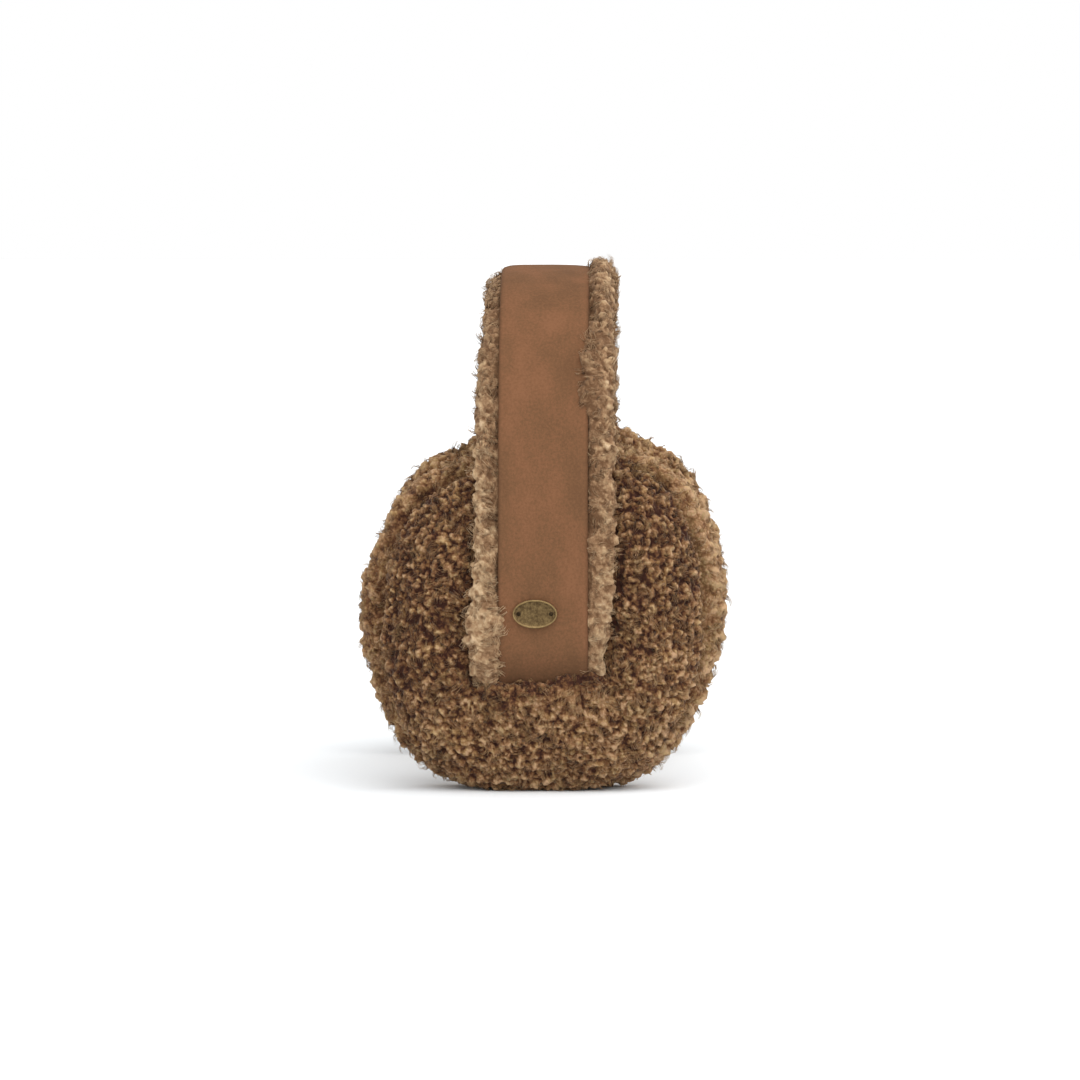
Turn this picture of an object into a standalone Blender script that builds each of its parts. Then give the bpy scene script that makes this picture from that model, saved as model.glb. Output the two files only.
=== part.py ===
# Fur earmuffs: two round shearling cups joined by a suede strap lined with shearling.
# Metres, +Z up. X runs from ear to ear, Y from the back (-) to the front (+), and the cups
# stand on z = 0. The right cup, at +X, carries the badge.

import math
import random

import bmesh
import bpy
from mathutils import Matrix, Vector

# Cups
CUP_RADIUS = 0.0698  # from the cup's middle to the tips of its curls
EAR_GAP = 0.088  # clear space between the two cups
REAR_DEPTH = 0.019  # the panel against the ear
FACE_DEPTH = 0.023  # the panel that faces outwards
SEAM_STEP = 0.0042  # how much smaller the face panel is than the rear one
FOOT_PRESS = 0.0013  # how far the fur's roots are pressed flat where the cup stands

# Headband
BAND_TOP = 0.1885  # the leather's highest point above the floor
BAND_PROUD = 0.0020  # how far the leather lies outside the cups' curls
ARCH_SQUARENESS = 2.6  # 2 is an ellipse, more has squarer shoulders
TUCK_REACH = 0.025  # how far in the strap's end would curl
TUCK_DROP = 0.040  # how far below the cup's middle it would curl to
TUCK_SHARE = 0.68  # the share of that curl that the strap really has
STRAP_WIDTH = 0.0325
STRAP_THICKNESS = 0.0020
STRAP_EDGE = 0.0006  # the chamfer along the leather's edges
LINING_DEPTH = 0.0135  # the lining's fur on the arch, under the leather
LINING_PRESSED = 0.0050  # the same between the leather and the cups
FLANK_WIDTH = 0.0115  # fur that stands out beside the leather
LIP_OVERLAP = 0.0012  # thickness of the fur lip that covers the strap's end, at its edge

# Locks of fur
LOCK_LENGTH = 0.0026
LOCK_SPACING = 0.0088  # on the cups
BAND_LOCK_SPACING = 0.0085  # along the headband

# Badge
BADGE_WIDTH = 0.0160
BADGE_HEIGHT = 0.0102
BADGE_THICKNESS = 0.0014
BADGE_RIM = 0.0009
BADGE_SUNK = 0.0004  # the field below the rim
BADGE_OFFSET = 0.0029  # behind the middle of the strap
RIVET_RADIUS = 0.0008
RIVET_SPACING = 0.0117
RIVET_SUNK = 0.0003  # the rivets' heads below the field

CLEARANCE = 0.0003  # between neighbouring pieces

# Shares of CUP_RADIUS, and of SEAM_STEP, round a cup. Angles from the front, upwards.
CUP_OUTLINE = (
    # angle, radius, step
    (0, 0.975, 1.0),
    (30, 1.015, 1.0),
    (45, 1.045, 0.8),
    (60, 1.025, 1.0),
    (90, 0.970, 1.2),
    (120, 0.965, 1.2),
    (135, 1.000, 1.2),
    (155, 0.975, 0.6),
    (180, 0.985, 1.2),
    (210, 1.010, 1.0),
    (225, 1.045, 0.9),
    (240, 1.040, 0.5),
    (270, 1.000, 0.1),
    (300, 1.020, 0.5),
    (330, 0.980, 1.0),
)

# A panel's section from its middle to the seam: shares of its radius and of its depth.
FACE_SECTION = (
    # radius, depth
    (0.000, 1.000),
    (0.300, 0.990),
    (0.550, 0.930),
    (0.750, 0.810),
    (0.900, 0.590),
    (0.980, 0.330),
    (1.000, 0.150),
    (0.975, 0.000),
)
REAR_SECTION = (
    # radius, depth
    (0.000, 0.930),
    (0.350, 0.950),
    (0.650, 1.000),
    (0.830, 0.960),
    (0.945, 0.780),
    (1.000, 0.450),
    (0.985, 0.200),
    (0.935, 0.000),
)

# The lining along one half of the headband. along: 0 at the top, 1 at the tucked end.
# back and front: shares of FLANK_WIDTH. back_lift and front_lift: shares of FLANK_WIDTH by
# which the flank's crest stands above the leather.
LINING = (
    # along, back, front, back_lift, front_lift
    (0.00, 0.60, 1.00, -0.45, 0.20),
    (0.20, 0.66, 1.00, -0.30, 0.18),
    (0.40, 0.90, 1.00, -0.12, 0.15),
    (0.60, 1.00, 1.02, -0.05, 0.10),
    (0.80, 1.05, 0.95, 0.10, 0.08),
    (0.90, 1.05, 0.75, 0.10, 0.05),
    (1.00, 0.60, 0.60, -0.20, -0.20),
)

# A flank's section, from its crest beside the leather round to its inner corner. across:
# share of its width. lift: share of its crest's lift. deep: share of the lining's depth.
FLANK_SECTION = (
    # across, lift, deep
    (0.40, 1.00, 0.00),
    (0.90, 1.00, 0.25),
    (1.00, 0.35, 0.62),
    (0.70, 0.00, 0.93),
)
# The share of a full lock on each side of the lining's section, from the leather's front edge
# round to its back edge. The inner ones grow on the arch only.
FRONT_LOCKS = (0, 0.5, 1, 1)
INNER_LOCKS = (0.5,) * 7
BACK_LOCKS = (1, 1, 0.5, 0, 0)

SEAM_X = EAR_GAP / 2 + REAR_DEPTH
HALF_SPAN = SEAM_X + FACE_DEPTH + BAND_PROUD
RIGHT, LEFT = 1, -1
OUTWARD, INWARD = 1, -1


def row_value(rows, column, at):
    """A column's value between rows, on a smooth curve through them."""
    last = len(rows) - 1
    k = 0
    while k < last - 1 and at > rows[k + 1][0]:
        k += 1
    before, here, there, after = (
        rows[max(0, k - 1)], rows[k], rows[k + 1], rows[min(last, k + 2)])
    span = there[0] - here[0]
    t = min(max((at - here[0]) / span, 0.0), 1.0)
    slope_here = (there[column] - before[column]) / (there[0] - before[0]) * span
    slope_there = (after[column] - here[column]) / (after[0] - here[0]) * span
    return ((2 * t**3 - 3 * t**2 + 1) * here[column] + (t**3 - 2 * t**2 + t) * slope_here
            + (3 * t**2 - 2 * t**3) * there[column] + (t**3 - t**2) * slope_there)


def whole_turn(rows):
    """The rows with their neighbours before 0 and after 360 degrees."""
    def turned(row, by):
        return (row[0] + by,) + tuple(row[1:])
    return ([turned(row, -360) for row in rows[-2:]] + list(rows)
            + [turned(row, 360) for row in rows[:2]])


def spaced(points, count):
    """The points of a line read again at count + 1 places equally far apart."""
    lengths = [0.0]
    for a, b in zip(points, points[1:]):
        lengths.append(lengths[-1] + math.dist(a, b))
    read, k = [], 0
    for i in range(count + 1):
        at = lengths[-1] * i / count
        while k < len(points) - 2 and at > lengths[k + 1]:
            k += 1
        share = (at - lengths[k]) / (lengths[k + 1] - lengths[k])
        read.append(tuple(a + (b - a) * share for a, b in zip(points[k], points[k + 1])))
    return read


def length_of(points):
    return sum(math.dist(a, b) for a, b in zip(points, points[1:]))


ROUND_OUTLINE = whole_turn(CUP_OUTLINE)


def rear_radius(angle):
    return CUP_RADIUS * row_value(ROUND_OUTLINE, 1, math.degrees(angle) % 360)


def face_radius(angle):
    step = SEAM_STEP * row_value(ROUND_OUTLINE, 2, math.degrees(angle) % 360)
    return rear_radius(angle) - step


CUP_CENTRE_Z = rear_radius(math.radians(270)) - LOCK_LENGTH - FOOT_PRESS
CUP_TOP_Z = CUP_CENTRE_Z + rear_radius(math.radians(90))


def material(name, colour, roughness, metallic=0.0):
    made = bpy.data.materials.new(name)
    made.use_nodes = True
    shader = made.node_tree.nodes["Principled BSDF"]
    shader.inputs["Base Color"].default_value = (*colour, 1.0)
    shader.inputs["Roughness"].default_value = roughness
    shader.inputs["Metallic"].default_value = metallic
    made.diffuse_color = (*colour, 1.0)
    return made


def finished(name, bm, finish):
    """Makes the bmesh an object of its own."""
    bmesh.ops.recalc_face_normals(bm, faces=bm.faces)
    mesh = bpy.data.meshes.new(name)
    bm.to_mesh(mesh)
    bm.free()
    made = bpy.data.objects.new(name, mesh)
    bpy.context.scene.collection.objects.link(made)
    if finish:
        mesh.materials.append(finish)
    return made


def as_cutter(made):
    made.hide_render = True
    made.display_type = "WIRE"
    return made


def cut(made, cutter):
    boolean = made.modifiers.new(cutter.name, "BOOLEAN")
    boolean.operation = "DIFFERENCE"
    boolean.solver = "EXACT"
    boolean.object = cutter


def grow_locks(bm, cells, seed):
    """Raises a leaning lock of fur on each cell, to its share of the full length."""
    chance = random.Random(seed)
    bmesh.ops.recalc_face_normals(bm, faces=bm.faces)
    bm.normal_update()
    for cell, share in cells:
        up = cell.normal.copy()
        corners = [v.co.copy() for v in cell.verts]
        lean = ((corners[1] - corners[0]) * chance.uniform(-0.2, 0.2)
                + (corners[3] - corners[0]) * chance.uniform(-0.2, 0.2))
        rise = LOCK_LENGTH * share * chance.uniform(0.75, 1.0)
        tip = bmesh.ops.poke(bm, faces=[cell])["verts"][0]
        tip.co += up * rise + lean


def cup_panel(name, side, facing, section, radius_at, depth, seed, finish):
    """A round fur panel: a grid of cells over its face, rings round its edge, a flat seam."""
    half = max(3, round(CUP_RADIUS / LOCK_SPACING - 0.5))
    steps = 8 * half
    reach, rise = CUP_RADIUS - LOCK_LENGTH, depth - LOCK_LENGTH
    line = [(share * reach, height * rise) for share, height in section]
    rings = half + max(2, round(length_of(line) / LOCK_SPACING) - half + 1)
    line = spaced(line[:-1], rings - 1) + line[-1:]

    bm = bmesh.new()

    def place(ring, turn):
        out, height = line[ring]
        out *= (radius_at(turn) - LOCK_LENGTH) / reach
        x = side * (SEAM_X + facing * (height + CLEARANCE / 2))
        return bm.verts.new((x, out * math.cos(turn), CUP_CENTRE_Z + out * math.sin(turn)))

    # The face's square grid, each square ring drawn as a circle.
    grid = {}
    for i in range(-half, half + 1):
        for j in range(-half, half + 1):
            ring = max(abs(i), abs(j))
            if ring == 0:
                turn = 0.0
            elif i == ring:
                turn = j / ring * math.pi / 4
            elif j == ring:
                turn = math.pi / 2 - i / ring * math.pi / 4
            elif i == -ring:
                turn = math.pi - j / ring * math.pi / 4
            else:
                turn = 1.5 * math.pi + i / ring * math.pi / 4
            grid[i, j] = place(ring, turn)
    cells = []
    for i in range(-half, half):
        for j in range(-half, half):
            corners = (grid[i, j], grid[i + 1, j], grid[i + 1, j + 1], grid[i, j + 1])
            cells.append((bm.faces.new(corners), 1.0))

    # The rings beyond it, to the seam.
    edge = ([grid[half, j] for j in range(0, half)]
            + [grid[i, half] for i in range(half, -half, -1)]
            + [grid[-half, j] for j in range(half, -half, -1)]
            + [grid[i, -half] for i in range(-half, half)]
            + [grid[half, j] for j in range(-half, 0)])
    for ring in range(half + 1, rings + 1):
        outer = [place(ring, k * math.tau / steps) for k in range(steps)]
        share = 0.3 if ring == rings else 1.0
        for k in range(steps):
            corners = (edge[k], outer[k], outer[(k + 1) % steps], edge[(k + 1) % steps])
            cells.append((bm.faces.new(corners), share))
        edge = outer
    bm.faces.new(edge)
    grow_locks(bm, cells, seed)
    return finished(name, bm, finish)


def half_band():
    """(out, up) along the leather's outer face, from the top to the tucked end."""
    rise = BAND_TOP - CUP_CENTRE_Z
    power = 2 / ARCH_SQUARENESS
    points = []
    for i in range(61):
        turn = i / 60 * math.pi / 2
        points.append((HALF_SPAN * math.sin(turn) ** power,
                       CUP_CENTRE_Z + rise * max(math.cos(turn), 0.0) ** power))
    for i in range(1, 31):
        turn = i / 30 * TUCK_SHARE * math.pi / 2
        points.append((HALF_SPAN - TUCK_REACH * (1 - math.cos(turn)),
                       CUP_CENTRE_Z - TUCK_DROP * math.sin(turn)))
    return points


def band_stations():
    """Places along the whole band: (along, point, outward), from the left end to the right."""
    half = half_band()
    count = max(8, round(length_of(half) / BAND_LOCK_SPACING))
    half = spaced(half, count)
    line = [(-x, z) for x, z in reversed(half[1:])] + half
    stations = []
    for k, (x, z) in enumerate(line):
        a, b = line[max(0, k - 1)], line[min(len(line) - 1, k + 1)]
        run = Vector((b[0] - a[0], 0, b[1] - a[1])).normalized()
        outward = Vector((-run.z, 0, run.x))
        stations.append((abs(k - count) / count, Vector((x, 0, z)), outward))
    return stations


def swept(bm, stations, section):
    """Sweeps a closed section, given for each station as (across, out), and caps its ends.
    It gives the faces between stations as rows of one face for each side of the section."""
    loops = []
    for station in stations:
        _, point, outward = station
        loops.append([bm.verts.new(point + Vector((0, across, 0)) + outward * out)
                      for across, out in section(station)])
    sides = len(loops[0])
    rows = []
    for near, far in zip(loops, loops[1:]):
        rows.append([bm.faces.new((near[k], near[(k + 1) % sides], far[(k + 1) % sides], far[k]))
                     for k in range(sides)])
    bm.faces.new(loops[0])
    bm.faces.new(list(reversed(loops[-1])))
    return rows


def eased(low, high, value):
    t = min(max((value - low) / (high - low), 0.0), 1.0)
    return t * t * (3 - 2 * t)


def lining_depth(point):
    """The lining under the leather: full on the arch, pressed thin on the cups."""
    full = eased(CUP_TOP_Z - 2 * LINING_DEPTH, CUP_TOP_Z + 2 * LINING_DEPTH, point.z)
    return LINING_PRESSED + (LINING_DEPTH - LINING_PRESSED) * full


def strap_section(_station):
    w, t, c = STRAP_WIDTH / 2, STRAP_THICKNESS, STRAP_EDGE
    return ((-w, -c), (-w, c - t), (c - w, -t), (w - c, -t),
            (w, c - t), (w, -c), (w - c, 0), (c - w, 0))


TROUGH_HALF = STRAP_WIDTH / 2 + CLEARANCE
TROUGH_FLOOR = STRAP_THICKNESS + CLEARANCE


def flank(along, column):
    return FLANK_WIDTH * row_value(LINING, column, along) - LOCK_LENGTH


def lining_section(station):
    along, point, _ = station
    back, front = flank(along, 1), flank(along, 2)
    back_lift = FLANK_WIDTH * row_value(LINING, 3, along)
    front_lift = FLANK_WIDTH * row_value(LINING, 4, along)
    floor, deep = TROUGH_FLOOR, TROUGH_FLOOR + lining_depth(point) - LOCK_LENGTH / 2

    def side(width, lift):
        # From the trough's floor over the crest and round to the inner face.
        edge = [(TROUGH_HALF, -floor), (TROUGH_HALF, min(lift, 0) - 0.2 * floor)]
        return edge + [(TROUGH_HALF + across * width, up * lift - down * deep)
                       for across, up, down in FLANK_SECTION]

    near = side(front, front_lift)
    far = [(-across, out) for across, out in side(back, back_lift)]
    inner = [(share * TROUGH_HALF, -deep) for share in (0.75, 0.25, -0.25, -0.75)]
    return near + inner + list(reversed(far))


def channel_section(station):
    """The space that the band takes out of a cup, as tall as the fur outside the lip."""
    along, point, _ = station
    back = TROUGH_HALF + flank(along, 1) + LOCK_LENGTH + CLEARANCE
    front = TROUGH_HALF + flank(along, 2) + LOCK_LENGTH + CLEARANCE
    deep = TROUGH_FLOOR + lining_depth(point) + CLEARANCE + LOCK_LENGTH * 0.5
    tall = CLEARANCE if under_lip(point) else 3 * LOCK_LENGTH
    return ((-back, -deep), (front, -deep), (front, tall), (-back, tall))


def dome_height(z):
    """How far the face panel's roots stand out from the seam, straight above or below."""
    share = abs(z - CUP_CENTRE_Z) / (CUP_RADIUS - LOCK_LENGTH)
    return (FACE_DEPTH - LOCK_LENGTH) * row_value(FACE_SECTION, 1, share)


def under_lip(point):
    below = point.z < CUP_CENTRE_Z
    return below and abs(point.x) < SEAM_X + dome_height(point.z) - LIP_OVERLAP


def make_strap(finish):
    bm = bmesh.new()
    swept(bm, band_stations(), strap_section)
    made = finished("headband_strap", bm, finish)
    made.data.shade_smooth()
    made.data.set_sharp_from_angle(angle=math.radians(30))
    return made


def make_lining(seed, finish):
    bm = bmesh.new()
    stations = band_stations()
    rows = swept(bm, stations, lining_section)
    cells = []
    for station, row in zip(stations, rows):
        on_arch = eased(CUP_TOP_Z - LINING_DEPTH, CUP_TOP_Z + LINING_DEPTH, station[1].z)
        inner = tuple(share * on_arch for share in INNER_LOCKS)
        shares = FRONT_LOCKS + inner + BACK_LOCKS
        cells += [(cell, share) for cell, share in zip(row, shares) if share > 0.05]
    grow_locks(bm, cells, seed)
    return finished("headband_fur", bm, finish)


def make_channel(name, side):
    """The cutter for one cup: the band's stations on that side, up past the cup's top."""
    stations = [s for s in band_stations()
                if s[1].x * side > 0 and s[1].z < CUP_TOP_Z + 3 * LINING_DEPTH]
    bm = bmesh.new()
    swept(bm, stations, channel_section)
    return as_cutter(finished(name, bm, None))


def make_floor():
    bm = bmesh.new()
    reach = 2 * (HALF_SPAN + CUP_RADIUS)
    bmesh.ops.create_cube(bm, size=reach)
    bmesh.ops.translate(bm, verts=bm.verts, vec=(0, 0, -reach / 2))
    return as_cutter(finished("floor", bm, None))


BADGE_PLACE = Matrix.Translation((HALF_SPAN + CLEARANCE, -BADGE_OFFSET, CUP_CENTRE_Z))
FACE_ON = BADGE_PLACE @ Matrix.Rotation(math.radians(90), 4, "Y")


def make_badge(finish):
    """An oval plate with a raised rim and a hole for each rivet."""
    bm = bmesh.new()
    bmesh.ops.create_circle(bm, cap_ends=True, segments=32, radius=0.5)
    bmesh.ops.scale(bm, verts=bm.verts, vec=(BADGE_HEIGHT, BADGE_WIDTH, 1))
    risen = bmesh.ops.extrude_face_region(bm, geom=bm.faces[:])["geom"]
    top = [v for v in risen if isinstance(v, bmesh.types.BMVert)]
    bmesh.ops.translate(bm, verts=top, vec=(0, 0, BADGE_THICKNESS))
    face = [f for f in risen if isinstance(f, bmesh.types.BMFace)]
    bmesh.ops.inset_region(bm, faces=face, thickness=BADGE_RIM * 0.7)
    bmesh.ops.inset_region(bm, faces=face, thickness=BADGE_RIM * 0.3, depth=-BADGE_SUNK)
    bmesh.ops.transform(bm, matrix=FACE_ON, verts=bm.verts)
    return finished("badge_plate", bm, finish)


def rivet_place(way):
    return FACE_ON @ Matrix.Translation((0, way * RIVET_SPACING / 2, 0))


def round_peg(name, radius, low, high, place, finish, crown=0.0):
    bm = bmesh.new()
    bmesh.ops.create_cone(bm, cap_ends=True, segments=14, radius1=radius, radius2=radius,
                          depth=high - low)
    bmesh.ops.translate(bm, verts=bm.verts, vec=(0, 0, (low + high) / 2))
    if crown:
        head = [f for f in bm.faces if f.normal.z > 0.9]
        bmesh.ops.inset_region(bm, faces=head, thickness=radius * 0.4, depth=crown)
    bmesh.ops.transform(bm, matrix=place, verts=bm.verts)
    return finished(name, bm, finish)


def main():
    for old in list(bpy.data.objects):
        bpy.data.objects.remove(old, do_unlink=True)

    dark_fur = {"colour": (0.135, 0.077, 0.043), "roughness": 0.95}
    rear_fur = material("rear shearling", **dark_fur)
    face_fur = material("face shearling", **dark_fur)
    lining = material("lining shearling", (0.32, 0.205, 0.125), 0.95)
    suede = material("suede", (0.25, 0.118, 0.058), 0.85)
    brass = material("antique brass", (0.20, 0.14, 0.075), 0.42, 0.9)
    dark_brass = material("dark rivet", (0.03, 0.022, 0.014), 0.5, 0.8)

    make_strap(suede)
    make_lining(11, lining)

    floor = make_floor()
    for label, side, seed in (("right", RIGHT, 21), ("left", LEFT, 31)):
        channel = make_channel("channel_" + label, side)
        face = cup_panel("cup_face_" + label, side, OUTWARD, FACE_SECTION, face_radius,
                         FACE_DEPTH, seed, face_fur)
        rear = cup_panel("cup_rear_" + label, side, INWARD, REAR_SECTION, rear_radius,
                         REAR_DEPTH, seed + 1, rear_fur)
        for panel in (face, rear):
            cut(panel, channel)
            cut(panel, floor)

    plate = make_badge(brass)
    for label, way in (("front", 1), ("back", -1)):
        place = rivet_place(way)
        hole = round_peg("hole_" + label, RIVET_RADIUS + CLEARANCE, -BADGE_THICKNESS,
                         2 * BADGE_THICKNESS, place, None)
        cut(plate, as_cutter(hole))
        head = BADGE_THICKNESS - BADGE_SUNK - RIVET_SUNK
        round_peg("badge_rivet_" + label, RIVET_RADIUS, 0.0, head, place, dark_brass,
                  crown=RIVET_SUNK * 0.6)


main()
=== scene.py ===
# Fur earmuffs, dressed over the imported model. Metres, +Z up, X from ear to ear with the
# badge at +X, Y from the back (-) to the front (+).

import math
import random

import bmesh
import bpy
import numpy
from mathutils import Matrix, Vector, noise
from mathutils.bvhtree import BVHTree
from mathutils.kdtree import KDTree


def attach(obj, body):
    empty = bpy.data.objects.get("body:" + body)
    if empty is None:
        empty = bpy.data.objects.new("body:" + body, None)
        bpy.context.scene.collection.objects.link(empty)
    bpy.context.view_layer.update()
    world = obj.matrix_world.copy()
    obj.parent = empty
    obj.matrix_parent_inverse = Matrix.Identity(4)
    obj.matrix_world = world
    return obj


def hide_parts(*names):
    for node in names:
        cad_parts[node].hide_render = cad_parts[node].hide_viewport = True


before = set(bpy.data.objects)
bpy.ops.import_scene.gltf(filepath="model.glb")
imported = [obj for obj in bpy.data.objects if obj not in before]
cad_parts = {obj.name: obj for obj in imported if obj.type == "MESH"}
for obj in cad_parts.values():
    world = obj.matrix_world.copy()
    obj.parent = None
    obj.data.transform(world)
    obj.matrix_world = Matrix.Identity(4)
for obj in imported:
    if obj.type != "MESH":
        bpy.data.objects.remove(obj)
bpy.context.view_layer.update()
print("stage: frame loaded")
noise.seed_set(5)  # Blender's vector noise otherwise differs from run to run


# One function turns a colour picker's hex value into the linear colour a shader takes.
def linearColour(hexText):
    parts = [int(hexText[i:i + 2], 16) / 255 for i in (1, 3, 5)]
    return (*[p / 12.92 if p < 0.04046 else ((p + 0.055) / 1.055) ** 2.4 for p in parts], 1)


# One function adds a node, sets it and fills or links its inputs.
def addNode(tree, kind, settings=None, inputs=None):
    node = tree.nodes.new("ShaderNode" + kind)
    for name, value in (settings or {}).items():
        if name == "stops":
            while len(node.color_ramp.elements) < len(value):
                node.color_ramp.elements.new(0.5)
            for element, (position, colour) in zip(node.color_ramp.elements, value):
                element.position, element.color = position, linearColour(colour)
        else:
            setattr(node, name, value)
    for name, value in (inputs or {}).items():
        if isinstance(value, bpy.types.NodeSocket):
            tree.links.new(value, node.inputs[name])
        else:
            node.inputs[name].default_value = value
    return node


def newMaterial(name):
    made = bpy.data.materials.new(name)
    made.use_nodes = True
    tree = made.node_tree
    tree.nodes.clear()
    shader = addNode(tree, "BsdfPrincipled")
    addNode(tree, "OutputMaterial", inputs={"Surface": shader.outputs["BSDF"]})
    return made, tree, shader


def meshObject(name, mesh, material):
    made = bpy.data.objects.new(name, mesh)
    bpy.context.scene.collection.objects.link(made)
    mesh.materials.clear()
    mesh.materials.append(material)
    mesh.shade_smooth()
    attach(made, "root")
    return made


def fromBmesh(bm, name):
    mesh = bpy.data.meshes.new(name)
    bm.to_mesh(mesh)
    bm.free()
    return mesh


def eased(low, high, value):
    t = min(max((value - low) / (high - low), 0.0), 1.0)
    return t * t * (3 - 2 * t)


# The main sizes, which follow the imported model.

floorGap = 0.0002  # no wool reaches lower than this

cups = {
    "centreZ": 0.0659,  # the cups' middle above the floor
    "voxel": 0.0045,
    "startInside": 0.0008,  # the pad starts this far inside the solid, then swells
    # The outline, as mm outwards at each angle from straight up: it sags wide at the foot.
    "outline": ((0, 0), (25, -1.2), (33, -2.4), (45, -0.2), (60, 1.4), (90, 2.4), (110, 2.0),
                (128, 3.2), (148, 4.4), (160, 3.2), (180, 1.2)),
    # The outer panel's own, smaller so that the rear one shows behind it as a ring.
    "faceOutline": ((0, 0), (25, -1.0), (35, -2.6), (45, -2.8), (60, -2.8), (92, -2.4),
                    (106, 0.0), (128, 2.2), (148, 3.6), (160, 2.8), (180, 1.2)),
    "outlineFrom": (0.030, 0.060),  # from the cup's middle: nothing moves, all of it moves
    # The lip that lies over the strap's end: how far up and out, and how much more at +Y.
    # Each pair is where that starts and where it is full, by height, Y and X.
    "lip": {"up": 0.0036, "out": 0.0030, "more": 0.0042, "below": (0.024, 0.037),
            "above": (0.050, 0.043), "aside": (0.024, 0.018), "outside": (0.072, 0.078),
            "moreFrom": (0.004, 0.009)},
    "heldReach": 0.0045,  # what is this near to a neighbour stays still as the pad swells
    "pressure": 4.0,
    "frames": 20,
    "mostMove": 0.0014,  # no point swells further than this
    "fill": 0.8,
}

band = {
    "halfSpan": 0.088,
    "top": 0.1885,
    "squareness": 2.6,
    "tuckReach": 0.025,
    "tuckDrop": 0.040,
    "tuckShare": 0.68,
    "stations": 120,
    "voxel": 0.0022,
    "startInside": 0.0009,
    "lumpGrain": 0.0045,  # the lumps are uneven over this distance
    # Where the lining's fur lies over the leather, stands clear of it or hangs lower.
    "lumps": (
        (-0.0220, 0.0075, 0.034, 0.078, 0.0010, -0.0028, 0.0),
        (-0.0165, 0.0040, 0.034, 0.074, 0.0018, 0.0026, 0.0),
        (0.0165, 0.0040, 0.134, 0.168, 0.0022, -0.0032, 0.0),
        (-0.0178, 0.0028, 0.076, 0.172, -0.0022, -0.0006, 0.0),
        (0.0175, 0.0022, 0.168, 0.182, -0.0022, 0.0004, 0.0),
        (-0.0220, 0.0080, 0.168, 0.230, 0.0, 0.0026, -0.0115),
        (0.0240, 0.0060, 0.060, 0.184, 0.0, 0.0014, 0.0),
    ),
}


# (out, up) along the leather's outer face, from the left tucked end over the top to the right.
def bandPath():
    rise = band["top"] - cups["centreZ"]
    power = 2 / band["squareness"]
    half = []
    for i in range(121):
        turn = i / 120 * math.pi / 2
        half.append((band["halfSpan"] * math.sin(turn) ** power,
                     cups["centreZ"] + rise * max(math.cos(turn), 0.0) ** power))
    for i in range(1, 31):
        turn = i / 30 * band["tuckShare"] * math.pi / 2
        half.append((band["halfSpan"] - band["tuckReach"] * (1 - math.cos(turn)),
                     cups["centreZ"] - band["tuckDrop"] * math.sin(turn)))
    line = numpy.array([(-x, z) for x, z in reversed(half[1:])] + half)
    lengths = numpy.concatenate([[0], numpy.cumsum(numpy.hypot(*numpy.diff(line, axis=0).T))])
    at = numpy.linspace(0, lengths[-1], band["stations"] + 1)
    return numpy.stack([numpy.interp(at, lengths, line[:, 0]),
                        numpy.interp(at, lengths, line[:, 1])], axis=1)


# Fur.

curlSteps = 40  # along a curl's middle line


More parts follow.
